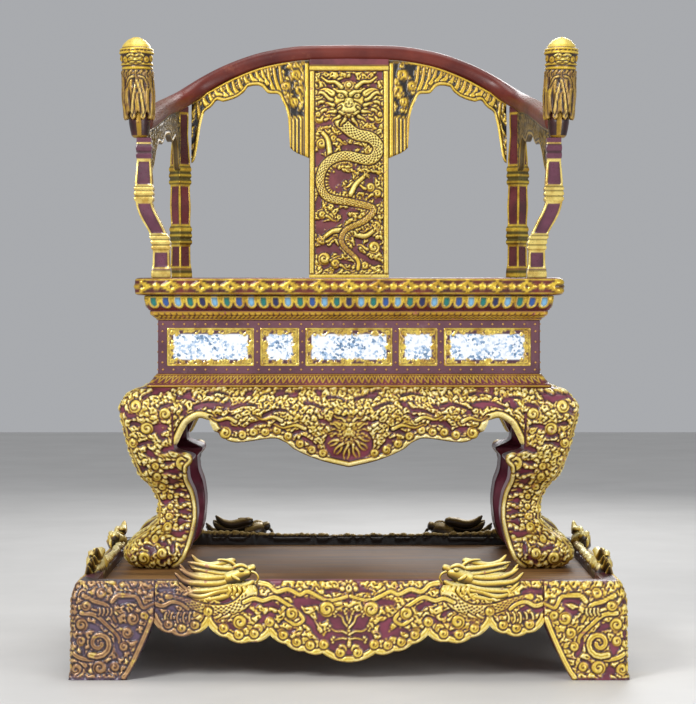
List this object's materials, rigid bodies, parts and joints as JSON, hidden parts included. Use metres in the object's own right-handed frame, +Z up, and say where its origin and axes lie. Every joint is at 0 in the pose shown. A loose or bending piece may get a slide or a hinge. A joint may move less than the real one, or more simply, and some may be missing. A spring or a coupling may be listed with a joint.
{
  "type": "ceremonial throne",
  "caption": "Ceremonial armchair throne of carved, lacquered and gilt wood, with dragon finials, on a low footed stand.",
  "frame": {"origin": "on the floor, under the middle of the stand", "axes": "+Z up, the throne faces -Y, +X to the right of someone who looks at its front"},
  "size_m": [1.02, 0.88, 1.2356],
  "materials": {
    "stand_board": "oiled dark wood with a soft sheen",
    "stand_gilt": "worn gilding over red lacquer on carved wood",
    "body_gilt": "gilding over red lacquer on carved wood",
    "moulding_gilt": "gilding and red lacquer on carved wood",
    "waist_lacquer": "mauve-brown lacquer with gilt studs",
    "panel_inlay": "glossy white and blue inlay in a gilt carved frame",
    "seat_lacquer": "red lacquer with a chain of gilt diamonds on the edge",
    "rail_lacquer": "red-brown lacquer",
    "post_lacquer": "red lacquer with gilt rolls and edge lines",
    "back_gilt": "gilding over red lacquer on carved wood"
  },
  "bodies": {
    "root": {"stand_board": "stand_board", "stand_foot_front_left": "stand_gilt", "stand_foot_front_right": "stand_gilt", "stand_foot_back_left": "stand_gilt", "stand_foot_back_right": "stand_gilt", "stand_skirt_front": "stand_gilt", "stand_skirt_right": "stand_gilt", "stand_skirt_back": "stand_gilt", "stand_skirt_left": "stand_gilt", "leg_front_left": "body_gilt", "leg_front_right": "body_gilt", "leg_back_left": "body_gilt", "leg_back_right": "body_gilt", "apron_front": "body_gilt", "apron_right": "body_gilt", "apron_back": "body_gilt", "apron_left": "body_gilt", "lower_moulding": "moulding_gilt", "rope_moulding": "moulding_gilt", "petal_band": "moulding_gilt", "waist_frame": "waist_lacquer", "panel_front_1": "panel_inlay", "panel_front_2": "panel_inlay", "panel_front_3": "panel_inlay", "panel_front_4": "panel_inlay", "panel_front_5": "panel_inlay", "panel_left_1": "panel_inlay", "panel_left_2": "panel_inlay", "panel_left_3": "panel_inlay", "panel_right_1": "panel_inlay", "panel_right_2": "panel_inlay", "panel_right_3": "panel_inlay", "seat_slab": "seat_lacquer", "crest_rail": "rail_lacquer", "arm_post_left": "post_lacquer", "arm_post_right": "post_lacquer", "back_post_left": "post_lacquer", "back_post_right": "post_lacquer", "back_splat": "back_gilt", "back_spandrel_left": "back_gilt", "back_spandrel_right": "back_gilt", "arm_spandrel_left": "back_gilt", "arm_spandrel_right": "back_gilt", "dragon_finial_left": "back_gilt", "dragon_finial_right": "back_gilt"}
  },
  "joints": []
}
